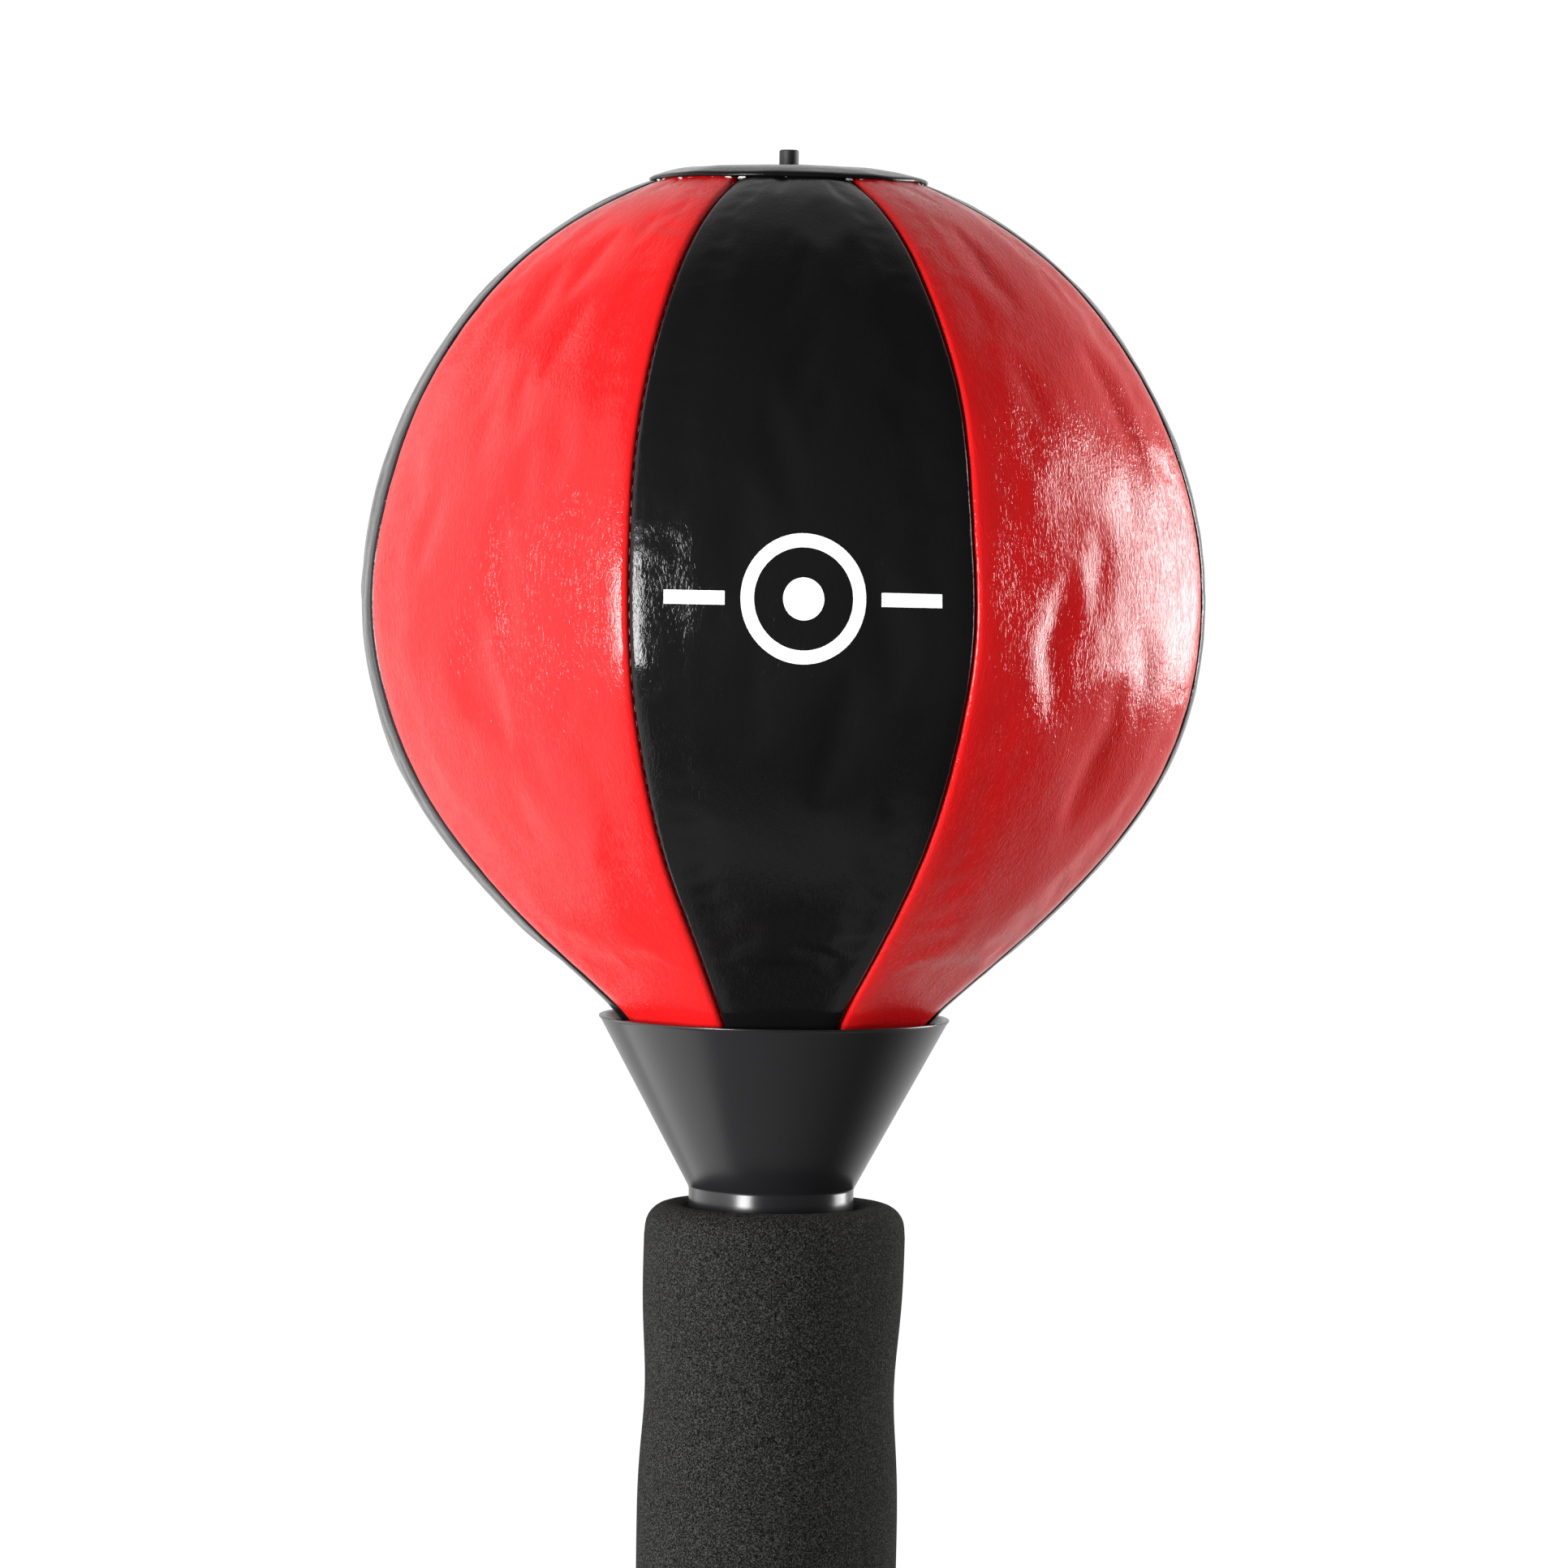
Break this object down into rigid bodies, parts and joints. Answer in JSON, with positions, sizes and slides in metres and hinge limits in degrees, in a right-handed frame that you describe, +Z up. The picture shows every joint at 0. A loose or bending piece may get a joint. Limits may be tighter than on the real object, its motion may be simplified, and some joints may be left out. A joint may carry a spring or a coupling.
{
  "type": "spring reflex bag",
  "caption": "Free-standing reflex bag: a sewn, inflated ball in a moulded cup on a foam-sleeved spring, a height-adjustable pole and a water-filled round base.",
  "frame": {"origin": "centre of the base at the floor, on the pole's axis", "axes": "+Z up the pole, front of the ball towards -Y, clamp knob towards +X"},
  "size_m": [0.43, 0.43, 1.2186],
  "materials": {
    "tank_hdpe": "satin",
    "ballast_water": "gloss",
    "moulded_plastic": "satin",
    "cap_plastic": "satin",
    "black_rubber": "matte",
    "zinc_steel": "satin",
    "powder_coat": "satin",
    "insert_brass": "satin",
    "chrome_tube": "polished",
    "glide_nylon": "satin",
    "spring_steel": "satin",
    "foam": "matte",
    "cup_plastic": "gloss",
    "red_leather": "gloss",
    "black_leather": "gloss",
    "bladder_rubber": "matte"
  },
  "bodies": {
    "stand": {"base_shell": "tank_hdpe", "water_fill": "ballast_water", "base_trim_ring": "moulded_plastic", "foot_1": "black_rubber", "foot_2": "black_rubber", "foot_3": "black_rubber", "foot_4": "black_rubber", "foot_5": "black_rubber", "foot_6": "black_rubber", "base_bolt": "zinc_steel", "base_washer": "zinc_steel", "pole_foot_plug": "zinc_steel", "lower_pole": "powder_coat", "height_collar": "moulded_plastic", "threaded_insert": "insert_brass", "collar_screw_front": "zinc_steel", "collar_screw_back": "zinc_steel"},
    "cap": {"filler_cap": "cap_plastic", "filler_gasket": "black_rubber"},
    "clamp": {"lock_knob": "moulded_plastic", "lock_stud": "zinc_steel"},
    "mast": {"upper_pole": "chrome_tube", "pole_glide": "glide_nylon", "spring_bottom_plug": "zinc_steel", "cross_bolt": "zinc_steel", "cross_nut": "zinc_steel"},
    "spring_middle": {"spring": "spring_steel", "foam_sleeve": "foam"},
    "bag": {"spring_top_plug": "zinc_steel", "cup": "cup_plastic", "ball_washer": "zinc_steel", "ball_base_plate": "zinc_steel", "panel_black_front": "black_leather", "panel_red_front_right": "red_leather", "panel_black_right": "black_leather", "panel_red_back_right": "red_leather", "panel_black_back": "black_leather", "panel_red_back_left": "red_leather", "panel_black_left": "black_leather", "panel_red_front_left": "red_leather", "bladder": "bladder_rubber", "valve_stem": "black_rubber", "top_patch": "black_leather"}
  },
  "joints": [
    {"name": "cap_turn", "type": "hinge", "parent": "stand", "child": "cap", "pos_m": [-0.09192, 0.09192, 0.12], "axis": [0, 0, 1], "range_deg": [0, 720]},
    {"name": "clamp_turn", "type": "hinge", "parent": "stand", "child": "clamp", "pos_m": [0.05, 0, 0.583], "axis": [1, 0, 0], "range_deg": [0, 720]},
    {"name": "height", "type": "slide", "parent": "stand", "child": "mast", "axis": [0, 0, 1], "range_m": [0, 0.3]},
    {"name": "sway", "type": "hinge", "parent": "mast", "child": "spring_middle", "pos_m": [0, 0, 0.78], "axis": [0, 1, 0], "range_deg": [-40, 40], "stiffness_Nm_per_rad": 16, "deforming": ["spring", "foam_sleeve"]},
    {"name": "nod", "type": "hinge", "parent": "spring_middle", "child": "bag", "pos_m": [0, 0, 0.87], "axis": [1, 0, 0], "range_deg": [-40, 40], "stiffness_Nm_per_rad": 16, "deforming": ["spring", "foam_sleeve"]}
  ]
}
